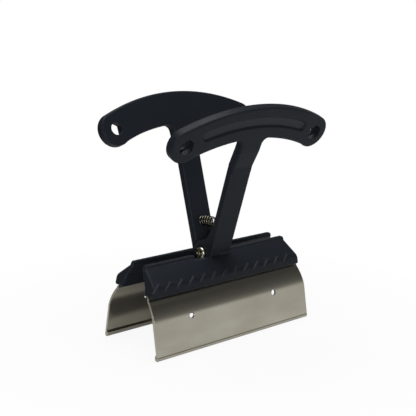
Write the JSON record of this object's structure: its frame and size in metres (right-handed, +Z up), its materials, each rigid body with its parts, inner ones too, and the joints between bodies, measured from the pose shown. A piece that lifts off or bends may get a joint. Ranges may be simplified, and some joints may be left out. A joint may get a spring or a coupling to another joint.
{
  "type": "keycap puller",
  "caption": "Sprung plier-type keycap puller: curved T-shaped plastic grips cross at a pivot screw above wide bent sheet-steel jaws that hook under a row of keycaps.",
  "frame": {"origin": "centre of the bounding box's base, on the floor that the blades stand on", "axes": "+Z up, +X along the jaws, -Y towards the front grip"},
  "size_m": [0.076, 0.0532, 0.0893],
  "materials": {
    "handle": "satin moulded black plastic",
    "blade": "smooth bright sheet steel",
    "fastener": "bright plated steel",
    "spring": "bright drawn wire"
  },
  "bodies": {
    "back_half": {"handle_back": "handle", "blade_front": "blade", "pivot_screw": "fastener", "pivot_nut": "fastener", "spring": "spring"},
    "front_half": {"handle_front": "handle", "blade_back": "blade"}
  },
  "joints": [
    {"name": "squeeze", "type": "hinge", "parent": "back_half", "child": "front_half", "pos_m": [0, 0, 0.0305], "axis": [-1, 0, 0], "range_deg": [0, 24], "stiffness_Nm_per_rad": 0.15, "springref_deg": -20.05, "deforming": ["spring"]}
  ]
}
